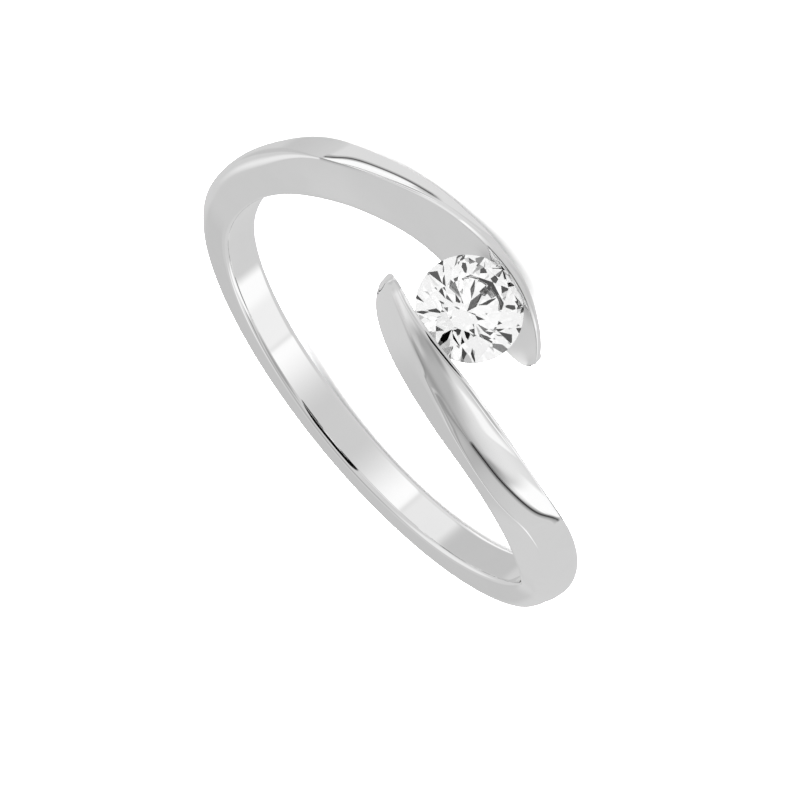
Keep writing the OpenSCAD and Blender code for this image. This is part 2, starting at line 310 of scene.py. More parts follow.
def ridge_line(foot, ridge, crease, angles, share):
    """The ridge: one rounding along the shank's end of the arm, and beside the stone two small ones
    with a narrow land between them, mixed by an amount that fades in and out along the arm."""
    single = corner(foot, ridge, crease, arm("ridge_r", angles), RIDGE_POINTS, share_after=share)
    brow = ridge - np.array([LAND_W, 0])
    half = (RIDGE_POINTS - LAND_POINTS) // 2
    first = corner(foot, ridge, brow, LIP_R, half)
    second = corner(ridge, brow, crease, BROW_R, half)
    land = np.concatenate([first, straight(first[:, -1], second[:, 0], LAND_POINTS), second], axis=1)
    grown = soft_step((angles - LAND_FROM[0]) / (LAND_FROM[1] - LAND_FROM[0]))
    fades = soft_step((LAND_UNTIL[1] - angles) / (LAND_UNTIL[1] - LAND_UNTIL[0]))
    amount = (grown * fades)[:, None, None]
    return (1 - amount) * single + amount * land


print("land beside the stone:", LAND_W, "mm wide from", LAND_FROM[1], "to", LAND_UNTIL[0], "degrees")

# %% [markdown]
# ## The whole section
# The crown is sunk a little between ridge and crease, as the round back of a file leaves it. The
# rims towards the finger get a wide rounding, which is what makes a ring comfortable. All the
# corners and the lines between them are joined into one closed outline with the same number of
# points at every angle, so that the outlines can be laid side by side as a grid.

# %% Section of the arm
RIM_ROUND = 0.28
RIM_WEIGHT = 1
CROWN_SAG = 0.05
LEAF_END = 49
LEAF_FADE = 2.5
LEAF_PLACE = 0.12
LEAF_SHIFT = 8
DOME_SHARE = 0.95
RIM_POINTS = 9
CREASE_POINTS = 8
SHOULDER_POINTS = 15
FLAT_POINTS = 6


def sections(angles):
    """One closed outline for each angle, as sideways and height: inner rim, wall, ridge, crown,
    crease, dome, shoulder, outer side, outer rim, and back along the finger. Past the leaf's end
    the crease is a place on the straight line from ridge to shoulder, so it doesn't show."""
    inner, outer, flare = (arm(c, angles) for c in ("inner", "outer", "flare"))
    zero = np.zeros_like(inner)
    foot_in, foot_out = pair(inner + flare, zero), pair(outer - flare, zero)
    ridge = pair(arm("ridge", angles), arm("ridge_h", angles))
    shoulder = pair(arm("shoulder", angles), arm("shoulder_h", angles))
    crease = pair(arm("crease", angles), arm("crease_h", angles))
    past = soft_step((angles - LEAF_END + LEAF_FADE) / LEAF_FADE)[:, None]
    place = (LEAF_PLACE + (0.5 - LEAF_PLACE) * soft_step((angles - LEAF_END) / LEAF_SHIFT))[:, None]
    crease = (1 - past) * crease + past * (ridge + place * (shoulder - ridge))
    share = (CORNER_SHARE + (DOME_SHARE - CORNER_SHARE) * past[:, 0])[:, None]
    wall_foot, side_foot = toward(foot_in, ridge, RIM_ROUND), toward(foot_out, shoulder, RIM_ROUND)
    rim_in = conic(pair(inner, zero), foot_in, wall_foot, RIM_WEIGHT, RIM_POINTS)
    rim_out = conic(side_foot, foot_out, pair(outer, zero), RIM_WEIGHT, RIM_POINTS)
    top = ridge_line(foot_in, ridge, crease, angles, share)
    fold = corner(ridge, crease, shoulder, arm("crease_r", angles), CREASE_POINTS)
    reach = arm("shoulder_r", angles)
    side = corner(crease, shoulder, foot_out, reach, SHOULDER_POINTS, share_before=share)
    parts = [
        rim_in, straight(rim_in[:, -1], top[:, 0], FLAT_POINTS),
        top, straight(top[:, -1], fold[:, 0], FLAT_POINTS, CROWN_SAG * (1 - past[:, 0])),
        fold, straight(fold[:, -1], side[:, 0], FLAT_POINTS),
        side, straight(side[:, -1], rim_out[:, 0], FLAT_POINTS),
        rim_out, straight(rim_out[:, -1], rim_in[:, 0], FLAT_POINTS),
    ]
    return np.concatenate(parts, axis=1)


print("points round a section:", sections(np.zeros(1)).shape[1])

# %% [markdown]
# ## The tongue
# Past the stone each arm thins out into a rounded tongue. Its top, its finger side and its flanks
# each close in along a curve with a start angle and a power, where 2 is an ellipse and more is
# squarer. The tongues are filed by hand and aren't alike: the upper arm's is short and deep, the
# lower arm's is longer and thinner. So each arm has a small set of its own.

# %% Closing the tongue
TONGUE = {
    1: {"end": 16.2, "level": 2.0, "top": (14.4, 3.5), "foot": (9.7, 1.4), "flank": (13, 3.2)},
    -1: {"end": 17.9, "level": 0.8, "top": (10, 1.7), "foot": (12, 1.8), "flank": (14.3, 2.2)},
}
FLANK_LEAST = 0.3


def closing(angles, end, start, power):
    """1 before the start angle, and then down to 0 at the tongue's end, as (1 - v^p)^(1/p)."""
    v = np.clip((-start - angles) / (end - start), 0, 1)
    return (1 - v**power) ** (1 / power)


def tongue(angles, side):
    """The sections with the closing applied: heights shrink towards the level, by the top's factor
    above it and the foot's below it, and sideways places towards the section's middle."""
    points = sections(angles)
    shape = TONGUE[side]
    top, foot, flank = (
        closing(angles, shape["end"], *shape[way])[:, None] for way in ("top", "foot", "flank")
    )
    flank = FLANK_LEAST + (1 - FLANK_LEAST) * flank
    mid = sum(arm(c, angles) for c in ("inner", "ridge", "crease", "outer")) / 4
    sideways, height = points[..., 0], points[..., 1]
    sideways = mid[:, None] + flank * (sideways - mid[:, None])
    above = height - shape["level"]
    height = shape["level"] + np.where(above > 0, top, foot) * above
    return sideways, height


for side, name in ((1, "upper"), (-1, "lower")):
    print(name, "tongue ends", TONGUE[side]["end"], "degrees past the stone")

# %% [markdown]
# ## The band
# The band is one surface of two parameters: the angle along an arm and the place round its
# section. The second arm is the first one turned half a turn about the stone's axis, with its
# outline run backwards, so both share one grid that goes from tongue to tongue. Filing by hand
# leaves the shank thicker on one side of the finger than on the other, which a factor adds. Two
# halves joined by a Boolean would leave a seam in the polish, and one grid leaves none.

# %% Angles of the sections
TONGUE_LEN = 6.3
TONGUE_STATIONS = 56
TIP_GAP = 0.004
ARM_STEP = 0.36
SHANK_STEP = 0.8
ARM_UNTIL = 62


def stations(side):
    """Angles of the sections: closer and closer together towards the tongue's round end."""
    turn = np.linspace(0, math.pi / 2, TONGUE_STATIONS)
    tip = -TONGUE[side]["end"] + TIP_GAP + TONGUE_LEN * (1 - np.cos(turn))
    head = np.arange(tip[-1] + ARM_STEP, ARM_UNTIL, ARM_STEP)
    shank = np.linspace(head[-1] + SHANK_STEP, 180, round((180 - head[-1]) / SHANK_STEP))
    return np.concatenate([tip, head, shank])


print("sections on the arms:", [len(stations(side)) for side in (1, -1)])

# %% Round the finger
SHIFT_FADE = (60, 110)
SWELL = {1: (0.075, 66, 84), -1: (-0.13, 50, 68)}
SWELL_DOWN = (97, 112)


def swelling(angles, side):
    """The factor on the shank's thickness: a share that comes up and goes away smoothly."""
    share, start, full = SWELL[side]
    still, gone = SWELL_DOWN
    grown = soft_step((angles - start) / (full - start)) * soft_step((gone - angles) / (gone - still))
    return 1 + share * grown


def round_finger(angles, side, sideways, height):
    """Wraps a section round the finger: radius = hole + swollen height, place = radius times
    (sin, -cos) of the angle, and the sideways distance along the hole, less the head's shift."""
    radius = BORE_R + height * swelling(angles, side)[:, None]
    turn = np.radians(angles)[:, None]
    fade = (angles - SHIFT_FADE[0]) / (SHIFT_FADE[1] - SHIFT_FADE[0])
    shift = HEAD_SHIFT * (1 - soft_step(fade))[:, None]
    return np.stack([
        side * radius * np.sin(turn),
        -radius * np.cos(turn),
        side * sideways - shift,
    ], axis=-1)


def band_grid():
    """Both arms' outlines as one grid of points: the first arm from its tongue to the shank's back,
    and then the second one backwards, with its outline run the other way round."""
    halves = {}
    for side in (1, -1):
        angles = stations(side)
        halves[side] = round_finger(angles, side, *tongue(angles, side))
    second = np.roll(halves[-1][-2::-1, ::-1], -FLAT_POINTS, axis=1)
    return np.concatenate([halves[1], second])


grid = band_grid()
print("band grid:", grid.shape[:2])

# %% Make the band
def loft(grid):
    """Points and faces of a grid that is closed round its columns, with a fan on each end."""
    rows, columns = grid.shape[:2]
    i = np.arange(rows - 1)[:, None] * columns
    j = np.arange(columns)[None, :]
    k = (j + 1) % columns
    quads = np.stack([i + j, i + k, i + k + columns, i + j + columns], axis=-1).reshape(-1, 4)
    points = np.vstack([grid.reshape(-1, 3), grid[0].mean(axis=0), grid[-1].mean(axis=0)])
    tips = np.full(columns, rows * columns)
    last = (rows - 1) * columns
    near = np.column_stack([tips, k[0], j[0]])
    far = np.column_stack([tips + 1, j[0] + last, k[0] + last])
    return points, quads.tolist() + near.tolist() + far.tolist()


def new_mesh(name, points, faces):
    """A mesh object at the origin, with its place in its vertices."""
    mesh = bpy.data.meshes.new(name)
    mesh.from_pydata(points.tolist(), [], faces)
    mesh.validate()
    piece = bpy.data.objects.new(name, mesh)
    bpy.context.scene.collection.objects.link(piece)
    return piece


def measured(piece):
    """Open edges and volume in cubic millimetres of a piece's mesh."""
    shape = bmesh.new()
    shape.from_mesh(piece.data)
    open_edges = sum(not e.is_manifold for e in shape.edges)
    volume = shape.calc_volume(signed=True) / MM**3
    shape.free()
    return {"faces": len(piece.data.polygons), "open": open_edges, "mm3": round(volume, 2)}


points, faces = loft(grid)
band = new_mesh("band_silver", lying(points), faces)
print("band:", measured(band))

# %% [markdown]
# ## The seat
# The setter opens the two walls with a bur that has the stone's own outline, so the girdle slips
# into a groove under the ridges. The same order works here: the band is made whole, a cutter is
# turned from a short profile round the stone's axis, and a Boolean takes it away. Moving the
# wall's points by hand would leave the groove's edges ragged.

# %% Proportions of the stone
STONE_R = 2.0
GIRDLE_T = 0.1
TABLE_SHARE = 0.56
CROWN_ANGLE = math.radians(34.5)
PAVILION_ANGLE = math.radians(40.8)
STAR_SHARE = 0.5
LOWER_SHARE = 0.77
MAINS = 8
MAIN_STEP = 2 * math.pi / MAINS
HALF_STEP = MAIN_STEP / 2
TABLE_R = STONE_R * TABLE_SHARE
TABLE_H = (STONE_R - TABLE_R) * math.tan(CROWN_ANGLE)
TABLE_SIDE = TABLE_R * math.cos(HALF_STEP)
STAR_R = TABLE_SIDE + STAR_SHARE * (STONE_R - TABLE_SIDE)
LOWER_R = STONE_R * (1 - LOWER_SHARE)


def meet_height(angle, radius):
    """Height at which two neighbouring mains meet at a radius: mains slope down from the girdle's
    circle, so at half a step aside they have dropped (R - r cos half step) tan angle."""
    return (STONE_R - radius * math.cos(HALF_STEP)) * math.tan(angle)


STAR_H = meet_height(CROWN_ANGLE, STAR_R)
LOWER_H = meet_height(PAVILION_ANGLE, LOWER_R)
PAVILION_H = STONE_R * math.tan(PAVILION_ANGLE)
print("crown", round(TABLE_H, 3), "mm, pavilion", round(PAVILION_H, 3), "mm")

# %% The cutter and the cut
def turned(profile, count):
    """A solid of revolution: every profile point (radius, height) at every angle, and a fan on
    each end. The profile runs upwards, so the faces point out."""
    profile = np.array(profile)
    turn = np.linspace(0, 2 * math.pi, count, endpoint=False)
    grid = np.stack([
        profile[:, :1] * np.cos(turn), profile[:, :1] * np.sin(turn),
        np.broadcast_to(profile[:, 1:], (len(profile), count)),
    ], axis=-1)
    return loft(grid)


def cut(piece, points, faces):
    """Takes a closed shape away from a piece, once and for all."""
    cutter = new_mesh("cutter", points, faces)
    step = piece.modifiers.new("cut", "BOOLEAN")
    step.operation = "DIFFERENCE"
    step.solver = "EXACT"
    step.object = cutter
    bpy.context.view_layer.update()
    result = bpy.data.meshes.new_from_object(
        piece.evaluated_get(bpy.context.evaluated_depsgraph_get())
    )
    piece.modifiers.clear()
    old = piece.data
    piece.data = result
    bpy.data.meshes.remove(old)
    bpy.data.objects.remove(cutter)


print("points of a turned disc:", len(turned([(1, 0), (1, 1)], 8)[0]))

# %% Cut the seat
SEAT_GAP = 0.03
LIP_H = 0.5
BEARING_H = 1.0
TURNS = 192
groove_r = STONE_R + SEAT_GAP
lip_slope = (STONE_R - STAR_R) / STAR_H
bearing_slope = (STONE_R - LOWER_R) / LOWER_H
seat_points, seat_faces = turned([
    (groove_r - BEARING_H * bearing_slope, -GIRDLE_T - BEARING_H),
    (groove_r, -GIRDLE_T),
    (groove_r, 0),
    (groove_r - LIP_H * lip_slope, LIP_H),
], TURNS)
cut(band, lying(from_stone(seat_points)), seat_faces)
print("band after the seat:", measured(band))

# %% [markdown]
# ## The stone
# A round brilliant has 57 flat facets: a table, eight stars, eight mains and sixteen halves on the
# crown, and sixteen halves and eight mains on the pavilion, down to a point. Its sparkle comes
# from exactly flat faces, so nothing is rounded. The corners follow from the cutter's angles, and
# where a half meets the round girdle it ends in a shallow arc.

# %% Corners on the girdle
ARC_POINTS = 7


def polar(radius, turn, height):
    """Points (r cos t, r sin t, h) for a radius, a turn and a height, each a number or an array."""
    return np.stack(
        np.broadcast_arrays(radius * np.cos(turn), radius * np.sin(turn), height), axis=-1
    )


def half_arc(turn, angle, radius):
    """The edge of one half on the girdle, as turns and drops: the half's plane goes through two
    girdle points and the point where it ends, so the drop between them is the radius times the
    half's slope times the cosine of the turn less its value at the two points."""
    mid_step = HALF_STEP / 2
    slope = meet_height(angle, radius) / ((STONE_R - radius) * math.cos(mid_step))
    turns = np.linspace(-mid_step, mid_step, ARC_POINTS)
    return turn + turns, STONE_R * (np.cos(turns) - math.cos(mid_step)) * slope


print("a half dips by", half_arc(0, CROWN_ANGLE, STAR_R)[1].max().round(4), "mm at the girdle")

# %% Facets of the brilliant
def side_facets(angle, radius, base, sign, inner):
    """Mains and halves of one side of the girdle, as lists of corners that run anticlockwise seen
    from above. inner is the corner that each main ends in, over its girdle point."""
    facets, arcs = [], []
    height = base + sign * meet_height(angle, radius)
    for k in range(MAINS):
        turn = MAIN_STEP * k
        before, after = (polar(radius, turn + s * HALF_STEP, height) for s in (-1, 1))
        facets.append([inner(turn), before, polar(STONE_R, turn, base), after])
        for s, meeting in ((-1, before), (1, after)):
            middle = turn + s * HALF_STEP / 2
            turns, drop = half_arc(middle, angle, radius)
            arc = polar(STONE_R, turns, base - sign * drop)
            facets.append([meeting, *arc])
            arcs.append((middle % (2 * math.pi), arc))
    arcs.sort(key=lambda item: item[0])
    return facets, [p for _, arc in arcs for p in arc[:-1]]


def brilliant():
    """All facets and the girdle's quads, as corner lists."""
    crown, top = side_facets(CROWN_ANGLE, STAR_R, 0, 1, lambda t: polar(TABLE_R, t, TABLE_H))
    pavilion, bottom = side_facets(
        PAVILION_ANGLE, LOWER_R, -GIRDLE_T, -1,
        lambda t: np.array([0, 0, -GIRDLE_T - PAVILION_H]),
    )
    corners = [polar(TABLE_R, MAIN_STEP * k, TABLE_H) for k in range(MAINS)]
    stars = [
        [corners[k], polar(STAR_R, MAIN_STEP * k + HALF_STEP, STAR_H), corners[(k + 1) % MAINS]]
        for k in range(MAINS)
    ]
    girdle = [
        [bottom[i], bottom[(i + 1) % len(bottom)], top[(i + 1) % len(top)], top[i]]
        for i in range(len(top))
    ]
    flats = crown + stars + [corners] + [facet[::-1] for facet in pavilion]
    return flats, girdle


print("facets and girdle quads:", [len(part) for part in brilliant()])

# %% Make the stone
STONE_TURN = math.radians(10)


def stone_mesh():
    """Joins the facets' corners into one closed mesh; the facets stay flat, the girdle is round."""
    flats, girdle = brilliant()
    facets = flats + girdle
    corners = np.round(np.array([p for facet in facets for p in facet]), 7)
    points, index = np.unique(corners, axis=0, return_inverse=True)
    ends = np.cumsum([0] + [len(facet) for facet in facets])
    faces = [index.ravel()[a:b].tolist() for a, b in zip(ends[:-1], ends[1:])]
    c, s = math.cos(STONE_TURN), math.sin(STONE_TURN)
    points = points @ np.array([[c, s, 0], [-s, c, 0], [0, 0, 1]])
    piece = new_mesh("stone_brilliant", lying(from_stone(points)), faces)
    smooth = np.arange(len(piece.data.polygons)) >= len(flats)
    piece.data.polygons.foreach_set("use_smooth", smooth)
    return piece, len(flats)


stone, flat_count = stone_mesh()
print("facets:", flat_count, measured(stone))

# %% [markdown]
# ## Shading of the band
# Polished silver shows every flat and every edge by where its reflection breaks. Smooth shading
# keeps the long curves whole, and edges sharper than a named angle, such as the seat's, are
# marked, so that the reflection breaks there and nowhere else.

# %% Smooth faces and sharp edges
SHARP = math.radians(28)
band.data.polygons.foreach_set("use_smooth", np.ones(len(band.data.polygons), bool))
band.data.set_sharp_from_angle(angle=SHARP)
print("sharp edges:", sum(edge.use_edge_sharp for edge in band.data.edges))

# %% [markdown]
# ## Painted shade in the creases, on the ridges and at the seat
# The bottom of the crease beside the leaf, the leaf's ridge and the setter's cut under the girdle
# are painted dark, as painted shade and painted dark reflection. The crease and the ridge are
# known from the table and the cut from the stone, so each vertex can carry its nearness to them
# as an attribute, and the material reads it.

# %% Lines along which shade is painted
LINE_STEP = 0.15
# painted shade: each line is darkened by its amount, as shade in the crease and dark reflection on the
# ridge
PAINTED_SHADE_LINES = (
    # column, arm, first angle, last angle, fade, amount, width
    ("crease", 1, 21, 48.5, 4, 1.0, 0.06),
    ("crease", -1, 20, 48.5, 2, 1.0, 0.065),
    ("crease", -1, -14, 24, 6, 0.3, 0.12),
    ("ridge", -1, 30, 49, 17, 0.9, 0.045),
    ("ridge", 1, 24, 49, 20, 0.8, 0.045),
)


def painted_shade_line(column, side, first, last, fade, amount):
    """Points along the crease or the ridge of one arm, on the floor's frame in millimetres, and how
    much painted shade each gets: the amount times a soft step over the fade from the first."""
    angles = np.arange(first, last, LINE_STEP)
    sideways = arm(column, angles)[:, None]
    height = arm(column + "_h", angles)[:, None]
    points = round_finger(angles, side, sideways, height)[:, 0]
    return lying(points) / MM, amount * soft_step((angles - first) / fade)


print("points on the lines:", sum(len(painted_shade_line(*row[:6])[0]) for row in PAINTED_SHADE_LINES))

# %% Nearness to the crease, the ridge and the girdle
SEAT_SHADE_WIDTH = 0.28
SEAT_SHADE_AMOUNT = 0.4
CUT_POINTS = 360
NEAR_BOX = 1
SHOWS_FROM = 0.2


def nearness(points, line, amounts, width):
    """The amount at the nearest point of a line times exp(-(d / width)^2) of the distance d to it,
    for the points within a box round the line, and 0 elsewhere."""
    near = np.zeros(len(points))
    low, high = line.min(axis=0) - NEAR_BOX, line.max(axis=0) + NEAR_BOX
    inside = np.all((points > low) & (points < high), axis=1)
    gaps = ((points[inside, None] - line[None]) ** 2).sum(axis=2)
    first = gaps.argmin(axis=1)
    near[inside] = amounts[first] * np.exp(-gaps.min(axis=1) / width**2)
    return near


places = np.empty(len(band.data.vertices) * 3)
band.data.vertices.foreach_get("co", places)
places = places.reshape(-1, 3) / MM
# painted shade near the crease and the ridge, darkest on the lines and fading with the distance
painted_shade = np.zeros(len(places))
for *row, width in PAINTED_SHADE_LINES:
    painted_shade = np.maximum(painted_shade, nearness(places, *painted_shade_line(*row), width))
# painted shade in the seat's cut under the girdle
girdle = polar(STONE_R, np.linspace(0, 2 * math.pi, CUT_POINTS), -GIRDLE_T / 2)
girdle = lying(from_stone(girdle)) / MM
painted_shade = np.maximum(painted_shade, nearness(places, girdle, np.full(CUT_POINTS, SEAT_SHADE_AMOUNT), SEAT_SHADE_WIDTH))
band.data.attributes.new("painted_shade", "FLOAT", "POINT").data.foreach_set("value", painted_shade)
print("vertices with painted_shade_share:", int((painted_shade > SHOWS_FROM).sum()))

# %% [markdown]
# ## Node helpers
# The materials and the light are node trees, so a few short functions keep them readable: one
# adds a node and feeds it, and one makes a group with named inputs and outputs. The same could be
# wired by hand in the editor, but then nobody could read the numbers in order.

# %% Node helpers
def add_node(tree, kind, settings=None, **feeds):
    """A node with its settings, and each feed (a socket or a value) on the input of that name."""
    node = tree.nodes.new(kind)
    for key, value in (settings or {}).items():
        setattr(node, key, value)
    for name, feed in feeds.items():
        put(tree, node.inputs[name.replace("_", " ")], feed)
    return node


def put(tree, socket, feed):
    """Links a socket to an input, or sets the input to a value."""
    if isinstance(feed, bpy.types.NodeSocket):
        tree.links.new(feed, socket)
    else:
        socket.default_value = feed


def calc(tree, operation, a, b=0.0, c=0.0):
    """One arithmetic step on sockets or numbers."""
    node = tree.nodes.new("ShaderNodeMath")
    node.operation = operation
    for socket, feed in zip(node.inputs, (a, b, c)):
        put(tree, socket, feed)
    return node.outputs[0]


def blend(tree, amount, a, b):
    """a where the amount is 0, b where it is 1."""
    node = tree.nodes.new("ShaderNodeMix")
    for socket, feed in zip(node.inputs[:1] + node.inputs[2:4], (amount, a, b)):
        put(tree, socket, feed)
    return node.outputs[0]


def ramp(tree, value, low, high, at_low=0.0, at_high=1.0):
    """Runs smoothly from at_low to at_high while the value runs from low to high."""
    node = tree.nodes.new("ShaderNodeMapRange")
    node.interpolation_type = "SMOOTHSTEP"
    for name, feed in zip(
        ("Value", "From Min", "From Max", "To Min", "To Max"), (value, low, high, at_low, at_high)
    ):
        put(tree, node.inputs[name], feed)
    return node.outputs[0]


print("arithmetic on sockets:", calc.__doc__)

# %% Groups and materials
def new_group(name, inputs, outputs):
    """A group with inputs (name: default, or None for a vector) and outputs (name: socket type)."""
    group = bpy.data.node_groups.new(name, "ShaderNodeTree")
    for label, default in inputs.items():
        kind = "NodeSocketVector" if default is None else "NodeSocketFloat"
        socket = group.interface.new_socket(label, in_out="INPUT", socket_type=kind)
        if default is not None:
            socket.default_value = default
    for label, kind in outputs.items():
        group.interface.new_socket(label, in_out="OUTPUT", socket_type=kind)
    return group, group.nodes.new("NodeGroupInput").outputs, group.nodes.new("NodeGroupOutput").inputs


def use_group(tree, group, label="", **feeds):
    """A group as one node of a tree, with its feeds as add_node has them."""
    node = tree.nodes.new("ShaderNodeGroup")
    node.node_tree = group
    node.label = label
    for name, feed in feeds.items():
        put(tree, node.inputs[name.replace("_", " ")], feed)
    return node.outputs


def new_material(name):
    """A material with its node tree and its Principled shader."""
    material = bpy.data.materials.new(name)
    material.use_nodes = True
    return material, material.node_tree, material.node_tree.nodes["Principled BSDF"]


print("a group takes its inputs by name, with _ for a space")

# %% [markdown]
# ## The polish
# Hand polishing leaves three marks that can be named on the real ring: a faint waviness from the
# mop, hairlines that run every way from wear, and a haze that comes and goes. The group below
# makes all three from the place on the object, in millimetres, so it works on any piece. Scratches
# as an image would stretch over the ring's bends, and noise in space doesn't.

# %% Group of the polish
HAIRLINE_BAND = (0.62, 0.78)
HAIRLINE_DEPTH = -0.004
HAIRLINE_STRETCH = (0.06, 1.0, 1.0)
HAIRLINE_TURN = (0.4, 0.9, 0.5)
HAZE_BAND = (0.35, 0.75)
polish, polish_in, polish_out = new_group(
    "hand_polish",
    {"Place": None, "Wave mm": 1.6, "Hairline mm": 0.09, "Haze mm": 1.1},
    {"Height": "NodeSocketFloat", "Haze": "NodeSocketFloat", "Hairlines": "NodeSocketFloat"},
)
in_mm = add_node(polish, "ShaderNodeVectorMath", {"operation": "SCALE"})
put(polish, in_mm.inputs[0], polish_in["Place"])
put(polish, in_mm.inputs["Scale"], 1 / MM)
wave = add_node(
    polish, "ShaderNodeTexNoise", Vector=in_mm.outputs[0],
    Scale=calc(polish, "DIVIDE", 1.0, polish_in["Wave mm"]), Detail=0.0,
)
long_way = add_node(
    polish, "ShaderNodeMapping", Vector=in_mm.outputs[0], Scale=HAIRLINE_STRETCH,
    Rotation=HAIRLINE_TURN,
)
hairline = add_node(
    polish, "ShaderNodeTexNoise", Vector=long_way.outputs[0],
    Scale=calc(polish, "DIVIDE", 1.0, polish_in["Hairline mm"]), Detail=2.0,
)
haze = add_node(
    polish, "ShaderNodeTexNoise", Vector=in_mm.outputs[0],
    Scale=calc(polish, "DIVIDE", 1.0, polish_in["Haze mm"]), Detail=3.0,
)
lines = ramp(polish, hairline.outputs[0], *HAIRLINE_BAND)
surface = calc(polish, "MULTIPLY_ADD", lines, HAIRLINE_DEPTH, wave.outputs[0])
put(polish, polish_out["Hairlines"], lines)
put(polish, polish_out["Haze"], ramp(polish, haze.outputs[0], *HAZE_BAND))
put(polish, polish_out["Height"], surface)
print("hand_polish:", len(polish.nodes), "nodes")

# %% [markdown]
# ## Polished silver
# Silver sends back about 95 % of the light, with hardly a tint, so its colour in a picture is
# the colour of the room. A grey paint with a gloss coat would show a highlight on grey, and the
# real metal has only reflections. So the shader is fully metallic and nearly mirror smooth, the
# polish adds its marks, and painted shade turns the creases, the ridges and the seat dark and matt.

# %% Silver on the band
SILVER = 0.95
HAZE_DIMS = 0.012
# grey and roughness of the painted shade in the creases, on the ridges and at the seat
PAINTED_SHADE_GREY = 0.02
CLEAN_ROUGH = 0.025
HAZY_ROUGH = 0.045
HAIRLINE_ROUGH = 0.03
PAINTED_SHADE_ROUGH = 0.4
WAVE_SHARE = 0.02
WAVE_MM = 0.2
silver, tree, shader = new_material("polished_silver")
place = add_node(tree, "ShaderNodeTexCoord").outputs["Object"]
marks = use_group(tree, polish, Place=place)
# painted shade: the attribute darkens the silver towards black where shade and dark reflections are
# painted
painted_shade_mask = add_node(
    tree, "ShaderNodeAttribute", {"attribute_name": "painted_shade", "attribute_type": "GEOMETRY"}
).outputs["Fac"]
bright = blend(tree, marks["Haze"], SILVER, SILVER - HAZE_DIMS)
tone = blend(tree, painted_shade_mask, bright, PAINTED_SHADE_GREY)
colour = add_node(tree, "ShaderNodeCombineColor", Red=tone, Green=tone, Blue=tone)
rough = blend(tree, marks["Haze"], CLEAN_ROUGH, HAZY_ROUGH)
rough = calc(tree, "MULTIPLY_ADD", marks["Hairlines"], HAIRLINE_ROUGH, rough)
rough = blend(tree, painted_shade_mask, rough, PAINTED_SHADE_ROUGH)
wavy = add_node(
    tree, "ShaderNodeBump", Height=marks["Height"], Strength=WAVE_SHARE, Distance=WAVE_MM * MM
)
put(tree, shader.inputs["Base Color"], colour.outputs[0])
put(tree, shader.inputs["Metallic"], 1.0)
put(tree, shader.inputs["Roughness"], rough)
put(tree, shader.inputs["Normal"], wavy.outputs[0])
band.data.materials.clear()
band.data.materials.append(silver)
print(silver.name, "on", band.name)

# %% [markdown]
# ## Cubic zirconia
# The stone is clear, with a higher refractive index than any glass, so almost every ray that goes
# in through the crown is turned back by the pavilion. Its facets are lapped flat, and only the
# girdle is left slightly frosted. Nothing but the girdle is as far from the stone's axis, so the
# distance from the axis, which is the length of a cross product, picks it out. A second material
# on the girdle's faces would do as well, but it would end in a hard line.

# %% Zirconia on the stone
ZIRCONIA_IOR = 2.17
LAPPED_ROUGH = 0.004
FROST_FROM = 1.992
FROSTED = 0.6
FROSTED_ROUGH = 0.35
zirconia, tree, shader = new_material("cubic_zirconia")
place = add_node(tree, "ShaderNodeTexCoord").outputs["Object"]
marks = use_group(tree, polish, Place=place, Haze_mm=0.4, Hairline_mm=0.03)
centre = add_node(tree, "ShaderNodeVectorMath", {"operation": "SUBTRACT"})
put(tree, centre.inputs[0], place)
put(tree, centre.inputs[1], lying(from_stone(np.zeros((1, 3))))[0].tolist())
aside = add_node(tree, "ShaderNodeVectorMath", {"operation": "CROSS_PRODUCT"})
put(tree, aside.inputs[0], centre.outputs[0])
put(tree, aside.inputs[1], (LYING @ [0, -1, 0]).tolist())
away = add_node(tree, "ShaderNodeVectorMath", {"operation": "LENGTH"})
put(tree, away.inputs[0], aside.outputs[0])
frosted = ramp(tree, away.outputs["Value"], FROST_FROM * MM, STONE_R * MM)
clear = blend(tree, frosted, 1.0, FROSTED)
colour = add_node(tree, "ShaderNodeCombineColor", Red=clear, Green=clear, Blue=clear)
put(tree, shader.inputs["Base Color"], colour.outputs[0])
put(tree, shader.inputs["Metallic"], 0.0)
put(tree, shader.inputs["IOR"], ZIRCONIA_IOR)
put(tree, shader.inputs["Transmission Weight"], 1.0)
rough = calc(tree, "MULTIPLY", marks["Hairlines"], LAPPED_ROUGH)
put(tree, shader.inputs["Roughness"], blend(tree, frosted, rough, FROSTED_ROUGH))
stone.data.materials.append(zirconia)
print(zirconia.name, "on", stone.name)

# %% [markdown]
# ## The floor
# The ring lies on white paper, and the paper is lit from above until it is as white as the page.
# A plane with a faint grain is enough for it. It is kept out of the metal's reflections, because
# the panels below stand for everything that the metal mirrors.

# %% Floor
FLOOR_HALF = 2.0
FIBRE_SCALE = 900.0
FIBRE_BAND = (0.3, 0.7)
PAPER_TONES = (0.895, 0.905)
PAPER_ROUGH = 0.9
PAPER_SHEEN = 0.1
floor = new_mesh(
    "floor",
    np.array([[-1, -1, 0], [1, -1, 0], [1, 1, 0], [-1, 1, 0]]) * FLOOR_HALF,
    [[0, 1, 2, 3]],
)
paper, tree, shader = new_material("white_paper")
place = add_node(tree, "ShaderNodeTexCoord").outputs["Object"]
fibres = add_node(tree, "ShaderNodeTexNoise", Vector=place, Scale=FIBRE_SCALE, Detail=4.0)
tone = ramp(tree, fibres.outputs[0], *FIBRE_BAND, *PAPER_TONES)
colour = add_node(tree, "ShaderNodeCombineColor", Red=tone, Green=tone, Blue=tone)
put(tree, shader.inputs["Base Color"], colour.outputs[0])
put(tree, shader.inputs["Roughness"], PAPER_ROUGH)
put(tree, shader.inputs["Specular IOR Level"], PAPER_SHEEN)
floor.data.materials.append(paper)
floor.visible_glossy = False
floor.visible_transmission = False
print("floor:", 2 * FLOOR_HALF, "m wide")

